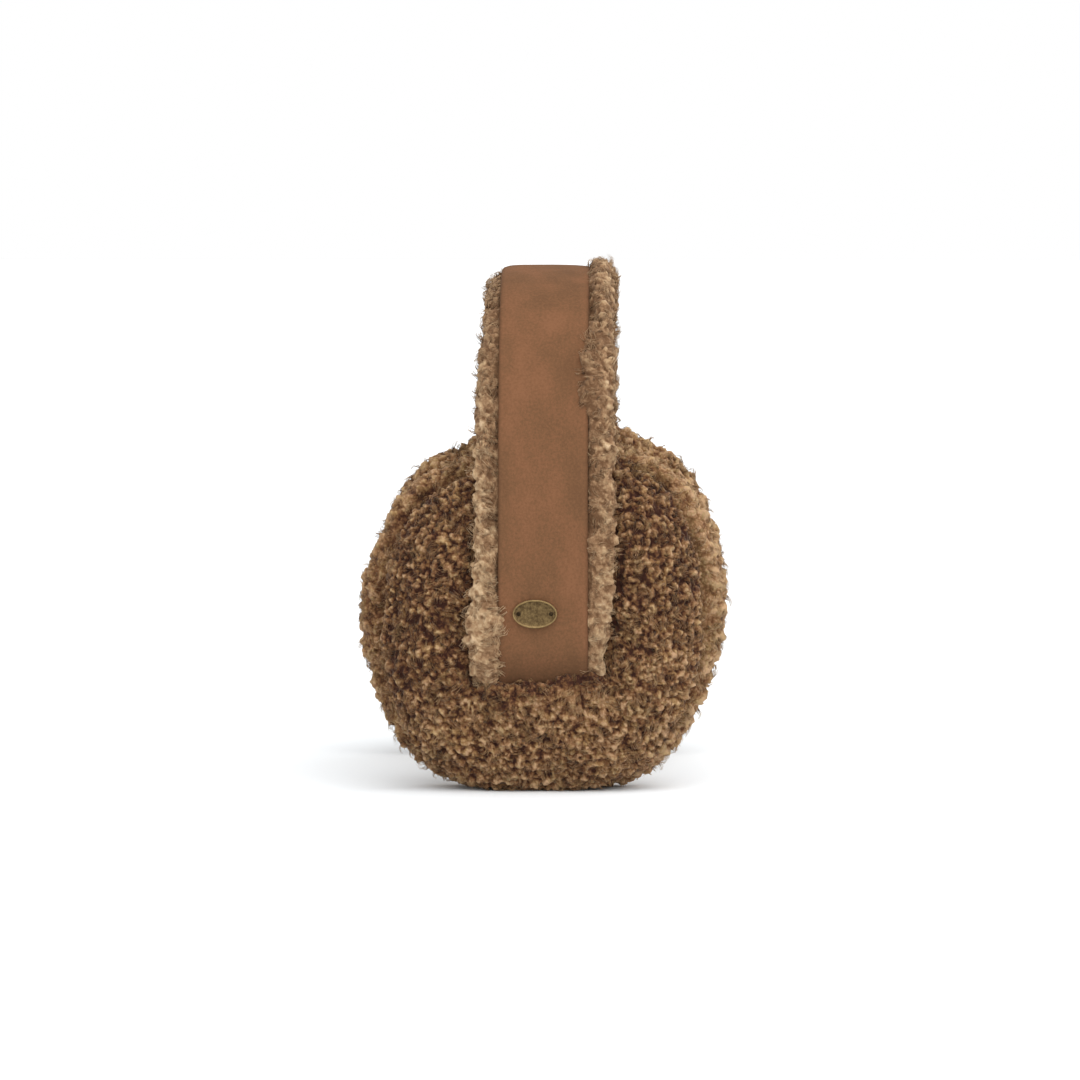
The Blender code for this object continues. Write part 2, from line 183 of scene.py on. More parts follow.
# Curly lamb's wool, dyed: each lock is dark at its root and faded to tan where it shows; the
# colour is also painted darker low in the pile, between nubs and beside neighbouring parts, as
# painted shade.
def curlMaterial(name, look):
    made, tree, shader = newMaterial(name)
    place = addNode(tree, "TexCoord").outputs["Object"]
    rise = addNode(tree, "Attribute", {"attribute_name": "rise"}).outputs["Fac"]
    tint = addNode(tree, "Attribute", {"attribute_name": "tint"}).outputs["Fac"]
    # Uneven dye, in patches about as wide as a finger.
    patches = addNode(tree, "TexNoise", inputs={
        "Vector": place, "Scale": 1 / look["patchSize"], "Detail": 2.0, "Roughness": 0.5})
    # Single fibres along a lock, drawn about 0.15 mm wide: finer ones wouldn't show.
    fibres = addNode(tree, "TexNoise", inputs={
        "Vector": place, "Scale": 1 / look["fibreSize"], "Detail": 3.0, "Roughness": 0.65})
    # Crumbs: the ends of single curls, each its own brown, with painted shade darkening the
    # colour in between.
    drift = addNode(tree, "TexNoise", inputs={
        "Vector": place, "Scale": 1 / look["crumbSize"], "Detail": 3.0})
    bent = addNode(tree, "VectorMath", {"operation": "MULTIPLY_ADD"}, {
        0: drift.outputs["Color"], 1: (look["crumbDrift"] * look["crumbSize"],) * 3, 2: place})
    crumbs = addNode(tree, "TexVoronoi", inputs={
        "Vector": bent.outputs[0], "Scale": 1 / look["crumbSize"]})
    crumb = addNode(tree, "MapRange", inputs={
        "Value": crumbs.outputs["Distance"], "From Min": 0.2, "From Max": 0.75,
        "To Min": look["crumbDepth"] / 2, "To Max": -look["crumbDepth"] / 2})
    height = addNode(tree, "Math", {"operation": "MULTIPLY_ADD"}, {
        0: fibres.outputs["Fac"], 1: look["fibreDepth"], 2: rise})
    height = addNode(tree, "Math", {"operation": "SUBTRACT"}, {
        0: height.outputs[0], 1: look["fibreDepth"] * 0.5})
    height = addNode(tree, "Math", {"operation": "ADD", "use_clamp": True}, {
        0: height.outputs[0], 1: crumb.outputs[0]})
    depth = addNode(tree, "ValToRGB", {"stops": look["rootToTip"]}, {"Fac": height.outputs[0]})
    own = addNode(tree, "SeparateColor", inputs={"Color": crumbs.outputs["Color"]})
    own = addNode(tree, "Math", {"operation": "MULTIPLY_ADD"}, {
        0: own.outputs["Red"], 1: look["crumbTint"], 2: patches.outputs["Fac"]})
    mixed = addNode(tree, "Math", {"operation": "MULTIPLY_ADD", "use_clamp": True}, {
        0: tint, 1: look["tintSpread"], 2: own.outputs[0]})
    shade = addNode(tree, "ValToRGB", {"stops": look["dye"]}, {"Fac": mixed.outputs[0]})
    colour = addNode(tree, "Mix", {"data_type": "RGBA", "blend_type": "MULTIPLY"}, {
        0: 1.0, 6: depth.outputs["Color"], 7: shade.outputs["Color"]})
    tree.links.new(colour.outputs[2], shader.inputs["Base Color"])
    relief = addNode(tree, "MapRange", inputs={
        "Value": crumbs.outputs["Distance"], "From Min": 0.1, "From Max": 0.8,
        "To Min": 1.0, "To Max": 0.0})
    rounded = addNode(tree, "Bump", inputs={
        "Strength": look["crumbBump"], "Distance": look["crumbSize"] * 0.5,
        "Height": relief.outputs[0]})
    bump = addNode(tree, "Bump", inputs={
        "Strength": look["bump"], "Distance": look["fibreSize"],
        "Height": fibres.outputs["Fac"], "Normal": rounded.outputs["Normal"]})
    tree.links.new(bump.outputs["Normal"], shader.inputs["Normal"])
    shader.inputs["Roughness"].default_value = 0.85
    shader.inputs["Specular IOR Level"].default_value = 0.15
    shader.inputs["Sheen Weight"].default_value = look["sheen"]
    shader.inputs["Sheen Roughness"].default_value = 0.4
    shader.inputs["Sheen Tint"].default_value = linearColour(look["sheenTint"])
    return made


# The middle line of a curl of length 1 that stands on the origin and bends over towards +X:
# (place, turn) from its root to a fifth past its tip, which some strands reach.
def curlLine(curl):
    spot, line = Vector((0, 0, 0)), []
    for i in range(round(1.2 * curlSteps) + 1):
        t = i / curlSteps
        turn = curl["bend"] * t ** curl["late"]
        line.append((spot.copy(), turn))
        way = Vector((math.sin(turn), curl["twist"] * math.sin(math.pi * t), math.cos(turn)))
        spot += way / curlSteps
    return line


# A straight tube along +Z, cut into rows, with a map that goes round it and up it.
def straightTube(sides, rows, tip):
    bm = bmesh.new()
    uvs = bm.loops.layers.uv.new("OFBake")
    bmesh.ops.create_cone(bm, cap_ends=True, segments=sides, radius1=1, radius2=tip, depth=1)
    bmesh.ops.translate(bm, verts=bm.verts, vec=(0, 0, 0.5))
    upright = [e for e in bm.edges if abs(e.verts[0].co.z - e.verts[1].co.z) > 0.5]
    bmesh.ops.subdivide_edges(bm, edges=upright, cuts=rows - 1, use_grid_fill=True)
    if tip == 0:
        bmesh.ops.remove_doubles(bm, verts=bm.verts, dist=0.0001)
    bmesh.ops.triangulate(bm, faces=bm.faces)
    bm.normal_update()
    for face in bm.faces:
        cap = abs(face.normal.z) > 0.97
        middle = face.calc_center_median()
        base = math.atan2(middle.y, middle.x)
        for loop in face.loops:
            x, y, z = loop.vert.co
            if cap:
                loop[uvs].uv = (0.5 + 0.4 * x, (0.03 if z < 0.5 else 0.97) + 0.02 * y)
            else:
                off = math.atan2(y, x) - base if abs(x) + abs(y) > 0.001 else 0
                off = (off + math.pi) % math.tau - math.pi
                turn = (base % math.tau + off) / math.tau
                loop[uvs].uv = (min(max(turn, 0.0), 1.0), 0.06 + 0.88 * z)
    return bm, uvs


# The arrays of a shape that is to be joined many times.
def shapeArrays(bm, uvs, curl, alongs):
    points = numpy.array([v.co for v in bm.verts])
    tris = numpy.array([[v.index for v in f.verts] for f in bm.faces])
    maps = numpy.array([[loop[uvs].uv[:] for loop in f.loops] for f in bm.faces])
    bm.free()
    # A strand's rise is darker low down: partly the wool's darker roots, partly painted shade
    # deep in the pile.
    height = numpy.clip(points[:, 2] * curl["bend"] / (1 + 1.3 * curl["spread"] * curl["bend"]),
                        0, 1)
    return {"points": points, "tris": tris, "uvs": maps,
            "rise": 0.75 * height + 0.25 * numpy.clip(alongs, 0, 1)}


# One strand of a tuft: a thin tube that starts beside the tuft's middle, closes in on it and
# curls over with it, wavy on the way.
def strandShape(curl, chance):
    bm, uvs = straightTube(3, curl["rows"], 0)
    line, alongs = curlLine(curl), []
    start, reach = chance.uniform(0.0, 0.2), chance.uniform(0.7, 0.9)
    around, wrap = math.pi + chance.uniform(-1.9, 1.9), chance.uniform(-0.9, 0.9)
    wide, close = curl["spread"] * chance.uniform(0.6, 1.1), chance.uniform(0.5, 1.1)
    wavy = chance.uniform(0.5, 1.0)
    for vert in bm.verts:
        x, y, z = vert.co
        t = start + reach * z
        middle, turn = line[min(round(t * curlSteps), len(line) - 1)]
        out = wide * (1 - (1 - close) * z)
        spin = around + wrap * z
        ring = Vector((math.cos(spin) * out, math.sin(spin) * out, 0))
        wave = Vector((0, math.sin(z * math.tau * wavy), 0)) * curl["wave"]
        thin = curl["thick"] * (1 - 0.35 * z)
        off = Matrix.Rotation(turn, 3, "Y") @ (ring + wave + Vector((x, y, 0)) * thin)
        vert.co = middle + off
        alongs.append(t)
    return shapeArrays(bm, uvs, curl, alongs)


# Random places over a surface, none nearer to another than the spacing, and none where a
# neighbour covers the fur. It gives the places and their outward ways.
def furRoots(mesh, covers, look, rng):
    spacing = look["spacing"]
    mesh.calc_loop_triangles()
    points = numpy.empty(len(mesh.vertices) * 3)
    mesh.vertices.foreach_get("co", points)
    points = points.reshape(-1, 3)
    normals = numpy.empty(len(mesh.vertices) * 3)
    mesh.vertices.foreach_get("normal", normals)
    normals = normals.reshape(-1, 3)
    tris = numpy.empty(len(mesh.loop_triangles) * 3, dtype=int)
    mesh.loop_triangles.foreach_get("vertices", tris)
    a, b, c = (points[k] for k in tris.reshape(-1, 3).T)
    areas = numpy.linalg.norm(numpy.cross(b - a, c - a), axis=1) / 2
    count = int(areas.sum() / spacing ** 2 * look["tries"])
    picked = rng.choice(len(areas), count, p=areas / areas.sum())
    u, v = rng.random((2, count, 1))
    u, v = numpy.where(u + v > 1, 1 - u, u), numpy.where(u + v > 1, 1 - v, v)
    spots = a[picked] * (1 - u - v) + b[picked] * u + c[picked] * v
    na, nb, nc = (normals[k] for k in tris.reshape(-1, 3)[picked].T)
    outs = na * (1 - u - v) + nb * u + nc * v
    outs /= numpy.linalg.norm(outs, axis=1, keepdims=True)
    kept, cells = [], {}
    for i in range(count):
        spot = spots[i]
        cell = tuple((spot / spacing).astype(int))
        near = False
        for dx in (-1, 0, 1):
            for dy in (-1, 0, 1):
                for dz in (-1, 0, 1):
                    for j in cells.get((cell[0] + dx, cell[1] + dy, cell[2] + dz), ()):
                        gap = spots[j] - spot
                        if gap @ gap < spacing ** 2:
                            near = True
                            break
        if near:
            continue
        start, out = Vector(spot), Vector(outs[i])
        if any(tree.ray_cast(start, out, look["coverReach"])[0] for tree in covers):
            continue
        cells.setdefault(cell, []).append(i)
        kept.append(i)
    kept = kept[:look["most"]]
    return spots[kept], outs[kept]


# How much paler than elsewhere the wool is at a place: a painted-light gradient that makes one
# side lighter, plus real bunches of paler wool.
def paintedLightAndBunch(look, spot):
    most, least, way, low, high = look["paintedLightAndBunch"]
    along = sum(a * b for a, b in zip(way, spot))
    bunch = noise.noise(Vector(spot) / look["bunchSize"]) * look["bunch"]
    return least + (most - least) * eased(low, high, along) + bunch


# Sets a tuft of strands on each root and joins them all into one mesh.
def furMesh(name, curls, roots, outs, look, rng):
    points, tris, uvs, rises, tints = [], [], [], [], []
    first, count = 0, len(roots) * look["strands"]
    cells = math.ceil(math.sqrt(count))
    comb = Vector(look["comb"])
    for k, (root, out) in enumerate(zip(roots, outs)):
        tuft = curls[rng.integers(len(curls))]
        up = Vector(out)
        swirl = noise.noise_vector(Vector(root) / look["swirlSize"])
        way = comb + swirl * look["swirl"] + Vector(rng.normal(0, 1, 3)) * look["unruly"]
        way -= up * way.dot(up)
        way.normalize()
        lean = rng.uniform(*look["lean"])
        rod = (up * math.cos(lean) + way * math.sin(lean)).normalized()
        side = rod.cross(way).normalized()
        front = side.cross(rod)
        size = look["length"] * rng.uniform(*look["lengthRange"])
        fat = rng.uniform(*look["fatRange"])
        axes = numpy.array([front, side * fat, rod]) * size
        tint = rng.random()
        for i in rng.permutation(len(tuft))[:look["strands"]]:
            shape = tuft[i]
            placed = shape["points"] @ axes + root - numpy.array(up) * look["sunk"]
            placed[:, 2] = numpy.maximum(placed[:, 2], floorGap)
            cell = numpy.array([len(points) % cells, len(points) // cells])
            uvs.append((cell + 0.04 + 0.92 * shape["uvs"]) / cells)
            points.append(placed)
            tris.append(shape["tris"] + first)
            first += len(placed)
            rises.append(shape["rise"] + paintedLightAndBunch(look, root))
            tints.append(numpy.full(len(placed), tint + 0.15 * rng.normal()))
    points, tris, uvs = (numpy.concatenate(x) for x in (points, tris, uvs))
    mesh = bpy.data.meshes.new(name)
    mesh.vertices.add(len(points))
    mesh.vertices.foreach_set("co", points.ravel())
    mesh.loops.add(tris.size)
    mesh.loops.foreach_set("vertex_index", tris.ravel())
    mesh.polygons.add(len(tris))
    mesh.polygons.foreach_set("loop_start", numpy.arange(0, tris.size, 3))
    mesh.update(calc_edges=True)
    mesh.uv_layers.new(name="OFBake").data.foreach_set("uv", uvs.ravel())
    for label, values in (("rise", rises), ("tint", tints)):
        layer = mesh.attributes.new(label, "FLOAT", "POINT")
        layer.data.foreach_set("value", numpy.concatenate(values))
    print("stage:", name, len(roots), "tufts,", len(tris), "triangles")
    return mesh


# Cuts the faces that show finer, raises a rough nub of wool under each tuft, and paints shade
# into the wool's colour low between nubs and near neighbours.
def nubbed(mesh, roots, covers, look, rng):
    bm = bmesh.new()
    bm.from_mesh(mesh)
    bm.normal_update()
    shown = [f for f in bm.faces if not any(
        tree.ray_cast(f.calc_center_median(), f.normal, look["coverReach"])[0]
        for tree in covers)]
    edges = {e for f in shown for e in f.edges}
    fine = bmesh.ops.subdivide_edges(bm, edges=list(edges), cuts=look["cuts"],
                                     use_grid_fill=True)["geom"]
    fine = list({g for g in fine if isinstance(g, bmesh.types.BMVert)})
    for _ in range(3):
        bmesh.ops.smooth_vert(bm, verts=fine, factor=0.5,
                              use_axis_x=True, use_axis_y=True, use_axis_z=True)
    bm.normal_update()
    tree = KDTree(len(roots))
    for i, root in enumerate(roots):
        tree.insert(root, i)
    tree.balance()
    tall = rng.uniform(0.65, 1.15, len(roots))
    chances = rng.random(len(roots))
    wide = look["spacing"] * look["nubWidth"]
    rise = bm.verts.layers.float.new("rise")
    tint = bm.verts.layers.float.new("tint")
    warpSize, shadeReach = look["warp"] * look["spacing"], look["shadeReach"]
    moves = []
    for v in bm.verts:
        warp = noise.noise_vector(v.co / warpSize) * look["spacing"] * look["warp"]
        (_, i, near), (_, _, nextNear) = tree.find_n(v.co + warp, 2)
        high = max(0.0, 1 - (near / wide) ** 2) ** 0.7 * tall[i]
        high *= eased(0.0, 0.35 * look["spacing"], nextNear - near) * 0.4 + 0.6
        rough = noise.noise(v.co / look["frizzSize"])
        rough += 0.5 * noise.noise(v.co / look["frizzSize"] * 1.9)
        # Painted shade: the wool is darker where a neighbour is near and where it lies low
        # between nubs.
        gaps = [cover.find_nearest(v.co, shadeReach)[3] or shadeReach for cover in covers]
        deep = min(gaps) / shadeReach
        wool = min(1.0, max(0.0, 0.12 + 0.7 * high + 0.5 * rough)) * (0.3 + 0.7 * deep)
        v[rise] = wool + paintedLightAndBunch(look, v.co)
        v[tint] = chances[i]
        swell = noise.noise(v.co / look["swellSize"]) * look["swell"]
        moves.append((v, v.normal * (look["nubHeight"] * high + swell + look["frizz"] * rough)))
    for v, by in moves:
        v.co += by
        v.co.z = max(v.co.z, floorGap)
    bm.to_mesh(mesh)
    bm.free()
    print("stage: nubs of wool,", len(mesh.polygons), "faces")


# Brings a cup panel to the photograph's outline, more at its rim than at its middle, and
# raises the outer panel's lip over the strap's end.
def outlined(mesh, outer):
    angles, moves = zip(*cups["faceOutline" if outer else "outline"])
    lip = cups["lip"]
    for v in mesh.vertices:
        x, y, z = v.co
        up = z - cups["centreZ"]
        far = math.hypot(y, up)
        angle = math.degrees(math.atan2(abs(y), up))
        by = numpy.interp(angle, angles, moves) * 0.001
        by *= eased(*cups["outlineFrom"], far) / far
        if outer:
            near = eased(*lip["below"], z) * eased(*lip["above"], z)
            near *= eased(*lip["aside"], abs(y))
            near *= eased(*lip["outside"], abs(x))
            v.co.x += math.copysign(lip["out"] * near, x)
            v.co.z += (lip["up"] + lip["more"] * eased(*lip["moreFrom"], y)) * near
        v.co.y += y * by
        v.co.z = max(v.co.z + up * by, floorGap)


# Shapes the lining as it lies in the photograph. Each lump is (centre y, half width, low z,
# high z, outward, towards +Y, up), in metres, on both arms of the headband.
def lumped(mesh, lumps):
    line = bandPath()
    tree = KDTree(len(line))
    for k, (x, z) in enumerate(line):
        tree.insert((x, 0, z), k)
    tree.balance()
    for v in mesh.vertices:
        x, y, z = v.co
        k = tree.find((x, 0, z))[1]
        run = line[min(k + 1, len(line) - 1)] - line[max(k - 1, 0)]
        outward = Vector((-run[1], 0, run[0])).normalized()
        depth = (v.co - Vector((line[k][0], y, line[k][1]))).dot(outward)
        move = Vector()
        for middle, half, low, high, out, across, up in lumps:
            ends = 0.25 * (high - low)
            share = eased(half, 0.5 * half, abs(y - middle)) * eased(-0.004, -0.001, depth)
            share *= eased(low, low + ends, z) * eased(high, high - ends, z)
            share *= min(1.2, max(0.2, 0.85 + 0.9 * noise.noise(v.co / band["lumpGrain"])))
            move += share * (outward * out + Vector((0, across, up)))
        v.co += move


# A smoothed copy of a fur solid, shrunk so that the curls reach out to where it was.
def peltStart(node, voxel, inside):
    bm = bmesh.new()
    bm.from_mesh(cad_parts[node].data)
    bmesh.ops.remove_doubles(bm, verts=bm.verts, dist=0.00002)
    start = bpy.data.objects.new("start", fromBmesh(bm, "start"))
    bpy.context.scene.collection.objects.link(start)
    remesh = start.modifiers.new("remesh", "REMESH")
    remesh.mode, remesh.voxel_size = "VOXEL", voxel
    smooth = start.modifiers.new("smooth", "SMOOTH")
    smooth.factor, smooth.iterations = 0.5, 3
    mesh = applied(start)
    bm = bmesh.new()
    bm.from_mesh(mesh)
    bm.normal_update()
    shift = [(v, v.normal * inside) for v in bm.verts]
    for v, by in shift:
        v.co -= by
    bm.to_mesh(mesh)
    bm.free()
    return mesh


# The mesh that an object's modifiers give. The object goes.
def applied(start):
    depsgraph = bpy.context.evaluated_depsgraph_get()
    mesh = bpy.data.meshes.new_from_object(start.evaluated_get(depsgraph))
    bpy.data.objects.remove(start)
    return mesh


# Swells a pad with Blender's cloth, held at its seam and where the headband lies.
def swollen(mesh, held):
    start = bpy.data.objects.new("swelling", mesh)
    bpy.context.scene.collection.objects.link(start)
    before = [v.co.copy() for v in mesh.vertices]
    pins = start.vertex_groups.new(name="held")
    pins.add([v.index for v in mesh.vertices if held(v)], 1.0, "REPLACE")
    cloth = start.modifiers.new("cloth", "CLOTH")
    cloth.settings.use_pressure = True
    cloth.settings.uniform_pressure_force = cups["pressure"]
    cloth.settings.effector_weights.gravity = 0
    cloth.settings.vertex_group_mass = "held"
    for number in range(1, cups["frames"] + 1):
        bpy.context.scene.frame_set(number)
    mesh = applied(start)
    bpy.context.scene.frame_set(1)
    for v, was in zip(mesh.vertices, before):
        move = v.co - was
        if move.length > cups["mostMove"]:
            v.co = was + move.normalized() * cups["mostMove"]
    start = bpy.data.objects.new("swelling", mesh)
    bpy.context.scene.collection.objects.link(start)
    finer = start.modifiers.new("finer", "SUBSURF")
    finer.levels = finer.render_levels = 1
    return applied(start)


def treeOf(node):
    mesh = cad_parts[node].data
    return BVHTree.FromPolygons([v.co for v in mesh.vertices],
                                [p.vertices[:] for p in mesh.polygons])


nodeTrees = {name: treeOf(name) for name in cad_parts}

faceFur = {
    "length": 0.0050,
    "lengthRange": (0.8, 1.15),
    "fatRange": (0.85, 1.2),
    "lean": (0.0, 0.6),
    "sunk": 0.0004,
    "comb": (0, 0, -0.4),
    "swirlSize": 0.010,
    "swirl": 1.2,
    "unruly": 0.6,
    "spacing": 0.0027,
    "tries": 6,  # places drawn for each one that the spacing could fill
    "most": 1300,
    "coverReach": 0.0025,  # no wool grows where a neighbour lies this near
    "strands": 10,
    "curl": {"rows": 2, "spread": 0.29, "thick": 0.029, "wave": 0.07},
    "patchSize": 0.012,
    "fibreSize": 0.0006,
    "fibreDepth": 0.5,
    "crumbSize": 0.0013,
    "crumbDrift": 1.9,
    "crumbDepth": 0.40,
    "crumbTint": 0.3,
    "crumbBump": 0.5,
    # Painted light, paler towards the bottom and +Y: how far the wool pales, most, least, the
    # way it goes, and where it starts and ends.
    "paintedLightAndBunch": (0.08, -0.10, (0, 0.3, -1), -0.062, -0.026),
    "bunch": 0.32,
    "bunchSize": 0.0045,
    "tintSpread": 0.25,
    "bump": 0.5,
    "sheen": 0.45,
    "sheenTint": "#c9b49a",
    "rootToTip": ((0.0, "#382019"), (0.3, "#654831"), (0.6, "#8c7052"), (1.0, "#b69e80")),
    "dye": ((0.35, "#b9a79c"), (0.6, "#e9e0c8"), (0.8, "#fdeae0"), (1.0, "#fff4da")),
    "cuts": 2,
    "warp": 0.7,  # how far a nub's outline wanders, as a share of the spacing
    "shadeReach": 0.006,
    "nubWidth": 0.74,
    "nubHeight": 0.0018,
    "frizz": 0.0007,
    "frizzSize": 0.0016,
    "swell": 0.0009,
    "swellSize": 0.008,
}

rearFur = dict(
    faceFur,
    length=0.0052,
    spacing=0.0031,
    cuts=1,
    strands=9,
    frizzSize=0.0020,
    # Painted light: the rear panels are paler than the faces, most towards +Y where the lamps
    # light their rim.
    paintedLightAndBunch=(0.40, 0.20, (0, 1, 0), 0.020, 0.060),
)

bandFur = dict(
    faceFur,
    length=0.0056,
    spacing=0.0028,
    most=2400,
    coverReach=0.003,
    strands=8,
    comb=(0, 0, 0.2),
    lean=(0.1, 0.8),
    sunk=0.0006,
    sheen=0.3,
    curl={"rows": 2, "spread": 0.27, "thick": 0.027, "wave": 0.09},
    rootToTip=((0.0, "#6e533d"), (0.3, "#90745a"), (0.65, "#ae9577"), (1.0, "#c9b397")),
    dye=((0.35, "#dccfc4"), (0.65, "#f2e8dc"), (1.0, "#fff6ea")),
    crumbDepth=0.34,
    crumbBump=0.4,
    fibreDepth=0.45,
    nubHeight=0.0011,
    # Painted light: the lining is paler towards its low ends and -Y, brightened against its
    # shade.
    paintedLightAndBunch=(0.16, -0.10, (0, -1.3, -1), -0.130, -0.065),
    bunch=0.2,
    frizz=0.0006,
    frizzSize=0.0018,
    swell=0.0010,
    swellSize=0.006,
    cuts=1,
)

# Kinds of curl: how far each bends over, how late, and how far it wanders sideways.
curlKinds = ((3.0, 1.2, 0.3), (3.6, 1.1, -0.35), (2.6, 1.3, 0.2), (4.0, 1.0, 0.5),
             (2.2, 1.5, -0.2), (3.3, 1.4, 0.1), (2.9, 1.0, -0.5), (2.4, 1.8, 0.3))


def curlSet(look):
    made, chance = [], random.Random(7)
    for k, (bend, late, twist) in enumerate(curlKinds):
        curl = dict(look["curl"], bend=bend, late=late, twist=twist)
        made.append([strandShape(curl, chance) for _ in range(20)])
    return made


faceCurls, rearCurls, bandCurls = curlSet(faceFur), curlSet(rearFur), curlSet(bandFur)

cupWool = curlMaterial("curly lambswool, dyed brown", faceFur)
bandWool = curlMaterial("fluffy lambswool, light brown", bandFur)

for number, (panel, other, look, curls) in enumerate((
        ("cup_face_right", "cup_rear_right", faceFur, faceCurls),
        ("cup_rear_right", "cup_face_right", rearFur, rearCurls),
        ("cup_face_left", "cup_rear_left", faceFur, faceCurls),
        ("cup_rear_left", "cup_face_left", rearFur, rearCurls))):
    neighbours = [nodeTrees[other], nodeTrees["headband_fur"], nodeTrees["headband_strap"]]
    pelt = peltStart(panel, cups["voxel"], cups["startInside"])

    def heldStill(vert):
        return any(tree.find_nearest(vert.co, cups["heldReach"])[0] for tree in neighbours)

    pelt = swollen(pelt, heldStill)
    outlined(pelt, "face" in panel)
    pelt.update()
    rng = numpy.random.default_rng(100 + number)
    roots, outs = furRoots(pelt, neighbours, look, rng)
    fur = furMesh(panel + "_curls", curls, roots, outs, look, rng)
    nubbed(pelt, roots, neighbours, look, rng)
    meshObject(panel + "_curls", fur, cupWool)
    pad = meshObject(panel + "_pad", pelt, cupWool)
    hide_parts(panel)

neighbours = [tree for name, tree in nodeTrees.items() if name != "headband_fur"]
pelt = peltStart("headband_fur", band["voxel"], band["startInside"])
lumped(pelt, band["lumps"])
pelt.update()
rng = numpy.random.default_rng(200)
roots, outs = furRoots(pelt, neighbours, bandFur, rng)
fur = furMesh("headband_fur_fluff", bandCurls, roots, outs, bandFur, rng)
meshObject("headband_fur_fluff", fur, bandWool)
nubbed(pelt, roots, neighbours, bandFur, rng)
lining = meshObject("headband_fur_pelt", pelt, bandWool)
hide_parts("headband_fur")


# The strap.

strap = {
    "width": 0.0325,
    "thickness": 0.0020,
    "edgeRound": 0.0006,
    "acrossCells": 12,
    "wave": 0.00012,
    "waveSize": 0.018,
    # How far the back and front edges droop at the top, and between which heights.
    "droop": {"back": 0.0013, "front": 0.0006, "heights": (0.16, 0.185)},
    "cloudSize": 0.014,
    "cloudStretch": 0.45,  # below 1 the clouds are longer up and down
    "napSize": 0.00022,
    "colours": ((0.28, "#644630"), (0.48, "#6c4c34"), (0.54, "#704d35"), (0.74, "#79533a")),
    "paintedLipShade": (0.0385, 0.056),  # painted shade, darker just above the fur's lip that overhangs the leather's end
    # painted shade along both long edges, where the leather meets the fur
    "edgeShade": (0.0148, 0.0163),
    "grainSize": 0.0009,
}


# Suede: split leather, its flesh side sanded to a short nap. It is matt, with soft cloudy
# shading where the nap lies one way or the other.
def suedeMaterial():
    made, tree, shader = newMaterial("suede, brushed nap")
    place = addNode(tree, "TexCoord").outputs["Object"]
    drawn = addNode(tree, "VectorMath", {"operation": "MULTIPLY"}, {
        0: place, 1: (1.0, 1.0, strap["cloudStretch"])})
    clouds = addNode(tree, "TexNoise", inputs={
        "Vector": drawn.outputs[0], "Scale": 1 / strap["cloudSize"], "Detail": 3.0,
        "Roughness": 0.5})
    nap = addNode(tree, "TexNoise", inputs={
        "Vector": place, "Scale": 1 / strap["napSize"], "Detail": 2.0, "Roughness": 0.7})
    grain = addNode(tree, "TexNoise", inputs={
        "Vector": place, "Scale": 1 / strap["grainSize"], "Detail": 3.0, "Roughness": 0.7})
    both = addNode(tree, "Math", {"operation": "MULTIPLY_ADD"}, {
        0: grain.outputs["Fac"], 1: 1.0, 2: clouds.outputs["Fac"]})
    both = addNode(tree, "Math", {"operation": "SUBTRACT"}, {0: both.outputs[0], 1: 0.5})
    colour = addNode(tree, "ValToRGB", {"stops": strap["colours"]}, {"Fac": both.outputs[0]})
    apart = addNode(tree, "SeparateXYZ", inputs={0: place})
    aside = addNode(tree, "Math", {"operation": "ABSOLUTE"}, {0: apart.outputs["Y"]})
    # Painted shade: darker towards both ends under the fur's lip, and along both edges beside
    # the fur.
    ends = addNode(tree, "MapRange", {"interpolation_type": "SMOOTHSTEP"}, {
        "Value": apart.outputs["Z"], "From Min": strap["paintedLipShade"][0],
        "From Max": strap["paintedLipShade"][1], "To Min": 0.6, "To Max": 1.0})
    # Painted shade along both edges, where the fur beside the leather shades it.
    edges = addNode(tree, "MapRange", {"interpolation_type": "SMOOTHSTEP"}, {
        "Value": aside.outputs[0], "From Min": strap["edgeShade"][0],
        "From Max": strap["edgeShade"][1], "To Min": 1.0, "To Max": 0.72})
    both = addNode(tree, "Math", {"operation": "MULTIPLY"}, {
        0: ends.outputs[0], 1: edges.outputs[0]})
    paintedShadeColour = addNode(tree, "Mix", {"data_type": "RGBA", "blend_type": "MULTIPLY"}, {
        0: 1.0, 6: colour.outputs["Color"], 7: both.outputs[0]})
    tree.links.new(paintedShadeColour.outputs[2], shader.inputs["Base Color"])
    bump = addNode(tree, "Bump", inputs={
        "Strength": 0.35, "Distance": 0.0002, "Height": nap.outputs["Fac"]})
    tree.links.new(bump.outputs["Normal"], shader.inputs["Normal"])
    shader.inputs["Roughness"].default_value = 0.9
    shader.inputs["Specular IOR Level"].default_value = 0.1
    shader.inputs["Sheen Weight"].default_value = 0.06
    shader.inputs["Sheen Roughness"].default_value = 0.4
    shader.inputs["Sheen Tint"].default_value = linearColour("#d8b08a")
    return made


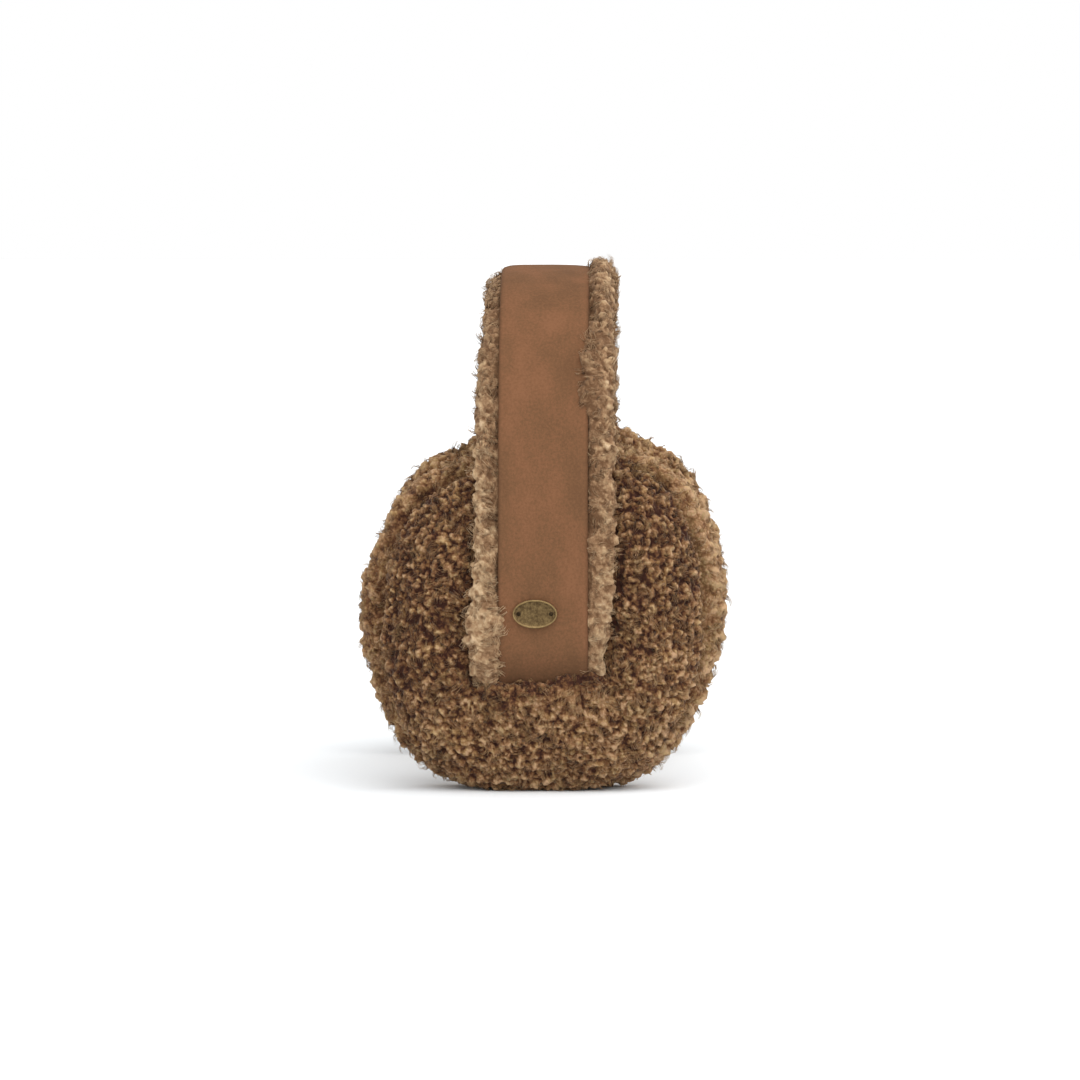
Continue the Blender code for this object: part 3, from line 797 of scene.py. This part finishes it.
def strapMesh():
    line = bandPath()
    frames = []
    for k, (x, z) in enumerate(line):
        run = line[min(k + 1, len(line) - 1)] - line[max(k - 1, 0)]
        run = Vector((run[0], 0, run[1])).normalized()
        outward = Vector((-run.z, 0, run.x))
        place = Matrix((Vector((0, 1, 0)), outward, run)).transposed().to_4x4()
        place.translation = Vector((x, 0, z)) - outward * strap["thickness"] / 2
        frames.append(place)
    bm = bmesh.new()
    bmesh.ops.create_grid(bm, x_segments=strap["acrossCells"], y_segments=1, size=0.5)
    bmesh.ops.scale(bm, verts=bm.verts, vec=(strap["width"], strap["thickness"], 1))
    bmesh.ops.transform(bm, verts=bm.verts, matrix=frames[0])
    ring = bm.faces[:]
    for before, after in zip(frames, frames[1:]):
        grown = bmesh.ops.extrude_face_region(bm, geom=ring)["geom"]
        if before is not frames[0]:
            bmesh.ops.delete(bm, geom=ring, context="FACES")
        ring = [g for g in grown if isinstance(g, bmesh.types.BMFace)]
        bmesh.ops.transform(bm, matrix=after @ before.inverted(),
                            verts=[g for g in grown if isinstance(g, bmesh.types.BMVert)])
    bmesh.ops.recalc_face_normals(bm, faces=bm.faces)
    corners = [e for e in bm.edges if e.is_manifold and e.calc_face_angle() > 1.0
               and abs(e.verts[0].co.y - e.verts[1].co.y) < 0.0001]
    bmesh.ops.bevel(bm, geom=corners, offset=strap["edgeRound"], offset_type="OFFSET",
                    affect="EDGES", segments=3, profile=0.5, material=-1)
    bm.normal_update()
    droop = strap["droop"]
    for v in bm.verts:
        wave = noise.noise(v.co / strap["waveSize"])
        share = abs(v.co.y) / (strap["width"] / 2)
        v.co += v.normal * wave * strap["wave"]
        low = droop["back"] * share ** 8 if v.co.y < 0 else droop["front"] * share ** 3
        v.co.z -= low * eased(*droop["heights"], v.co.z)
    return fromBmesh(bm, "headband_strap_suede")


leather = meshObject("headband_strap_suede", strapMesh(), suedeMaterial())
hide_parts("headband_strap")
print("stage: strap")


# The badge.

badge = {
    "width": 0.0160,
    "height": 0.0102,
    "thickness": 0.0014,
    "rim": 0.0008,
    "sunk": 0.0004,
    "behind": 0.0029,
    "proud": 0.0003,
    "rivetRadius": 0.0008,
    "rivetSpacing": 0.0117,
    "edgeRound": 0.00014,
    "patinaSize": 0.0012,
}
badgePlace = (Matrix.Translation((band["halfSpan"] + badge["proud"], -badge["behind"],
                                  cups["centreZ"])) @ Matrix.Rotation(math.pi / 2, 4, "Y"))


# Brass, darkened in an acid bath and rubbed back: dull olive in the field, brighter on the rim.
def brassMaterial(name, low, high, roughness):
    made, tree, shader = newMaterial(name)
    place = addNode(tree, "TexCoord").outputs["Object"]
    patina = addNode(tree, "TexNoise", inputs={
        "Vector": place, "Scale": 1 / badge["patinaSize"], "Detail": 5.0,
        "Roughness": 0.65})
    worn = addNode(tree, "NewGeometry").outputs["Pointiness"]
    worn = addNode(tree, "MapRange", inputs={
        "Value": worn, "From Min": 0.49, "From Max": 0.56, "To Min": 0.0, "To Max": 0.6})
    both = addNode(tree, "Math", {"operation": "ADD", "use_clamp": True}, {
        0: patina.outputs["Fac"], 1: worn.outputs[0]})
    colour = addNode(tree, "ValToRGB", {"stops": ((0.35, low), (0.9, high))},
                     {"Fac": both.outputs[0]})
    tree.links.new(colour.outputs["Color"], shader.inputs["Base Color"])
    rough = addNode(tree, "MapRange", inputs={
        "Value": both.outputs[0], "To Min": roughness + 0.15, "To Max": roughness - 0.1})
    tree.links.new(rough.outputs[0], shader.inputs["Roughness"])
    bump = addNode(tree, "Bump", inputs={
        "Strength": 0.4, "Distance": 0.0001, "Height": patina.outputs["Fac"]})
    tree.links.new(bump.outputs["Normal"], shader.inputs["Normal"])
    shader.inputs["Metallic"].default_value = 1.0
    return made


def badgeMesh():
    bm = bmesh.new()
    bmesh.ops.create_circle(bm, cap_ends=True, segments=64, radius=0.5)
    bmesh.ops.scale(bm, verts=bm.verts, vec=(badge["height"], badge["width"], 1))
    risen = bmesh.ops.extrude_face_region(bm, geom=bm.faces[:])["geom"]
    top = [g for g in risen if isinstance(g, bmesh.types.BMVert)]
    face = [g for g in risen if isinstance(g, bmesh.types.BMFace)]
    bmesh.ops.translate(bm, verts=top, vec=(0, 0, badge["thickness"]))
    bmesh.ops.inset_region(bm, faces=face, thickness=badge["rim"] * 0.6)
    bmesh.ops.inset_region(bm, faces=face, thickness=badge["rim"] * 0.4, depth=-badge["sunk"])
    bmesh.ops.recalc_face_normals(bm, faces=bm.faces)
    sharp = [e for e in bm.edges if e.is_manifold and e.calc_face_angle() > 0.5]
    bmesh.ops.bevel(bm, geom=sharp, offset=badge["edgeRound"], offset_type="OFFSET",
                    affect="EDGES", segments=2, profile=0.5, material=-1)
    bmesh.ops.transform(bm, verts=bm.verts, matrix=badgePlace)
    return fromBmesh(bm, "badge_plate_brass")


plate = meshObject("badge_plate_brass", badgeMesh(),
                   brassMaterial("antiqued brass", "#4d3d29", "#8d7650", 0.5))
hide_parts("badge_plate")
# The rivet heads are painted near-black: painted shade that stands in for the rivet holes.
holeShadeBrass = brassMaterial("brass painted hole-shade dark", "#1a140e", "#3a2e20", 0.55)
for label, way in (("front", 1), ("back", -1)):
    bm = bmesh.new()
    bmesh.ops.create_uvsphere(bm, u_segments=24, v_segments=12, radius=badge["rivetRadius"])
    bmesh.ops.scale(bm, verts=bm.verts, vec=(1, 1, 0.4))
    bmesh.ops.transform(bm, verts=bm.verts, matrix=badgePlace @ Matrix.Translation(
        (0, way * badge["rivetSpacing"] / 2, badge["thickness"] - badge["sunk"])))
    name = "badge_rivet_" + label
    rivet = meshObject(name + "_head", fromBmesh(bm, name), holeShadeBrass)
    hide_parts(name)
print("stage: badge")


# Camera, floor and light.

view = {
    "aim": (0.085, -0.0011, 0.0923),  # what the middle of the photograph looks at
    "distance": 2.412,
    "turn": 0.8,  # degrees towards the front
    "height": 4.2,  # degrees above the floor
    "lens": 223.4,
}

camera = bpy.data.objects.new("camera", bpy.data.cameras.new("camera"))
bpy.context.scene.collection.objects.link(camera)
turn, height = math.radians(view["turn"]), math.radians(view["height"])
back = Vector((math.cos(height) * math.cos(turn), math.cos(height) * math.sin(turn),
               math.sin(height)))
camera.location = Vector(view["aim"]) + back * view["distance"]
camera.rotation_mode = "QUATERNION"
camera.rotation_quaternion = (-back).to_track_quat("-Z", "Y")
camera.data.lens = view["lens"]
camera.data.sensor_width = 36
camera.data.clip_end = 50
bpy.context.scene.camera = camera

light = {
    "skyStrength": 0.68,
    "key": {"strength": 2.3, "softness": 80, "from": (1.0, 0.25, 1.1)},
    "fill": {"strength": 0.95, "softness": 70, "from": (-0.2, 0.7, 1.1)},
}

world = bpy.data.worlds.new("studio")
bpy.context.scene.world = world
world.use_nodes = True
tree = world.node_tree
tree.nodes.clear()
seen = addNode(tree, "LightPath").outputs["Is Camera Ray"]
strength = addNode(tree, "MapRange", inputs={
    "Value": seen, "To Min": light["skyStrength"], "To Max": 1.0})
sky = addNode(tree, "Background", inputs={
    "Color": (1, 1, 1, 1), "Strength": strength.outputs[0]})
addNode(tree, "OutputWorld", inputs={"Surface": sky.outputs[0]})

for label in ("key", "fill"):
    lamp = bpy.data.lights.new(label, "SUN")
    lamp.energy = light[label]["strength"]
    lamp.angle = math.radians(light[label]["softness"])
    made = bpy.data.objects.new(label, lamp)
    bpy.context.scene.collection.objects.link(made)
    made.rotation_mode = "QUATERNION"
    made.rotation_quaternion = Vector(light[label]["from"]).to_track_quat("Z", "Y")

bm = bmesh.new()
bmesh.ops.create_grid(bm, x_segments=1, y_segments=1, size=6.0)
floorMesh = fromBmesh(bm, "floor")
paper, tree, shader = newMaterial("white backdrop paper, matt")
shader.inputs["Base Color"].default_value = linearColour("#f3f6f8")
shader.inputs["Roughness"].default_value = 0.9
floorMesh.materials.append(paper)
floor = bpy.data.objects.new("floor", floorMesh)
bpy.context.scene.collection.objects.link(floor)

bpy.context.scene.view_settings.view_transform = "Standard"
print("stage: camera and light")
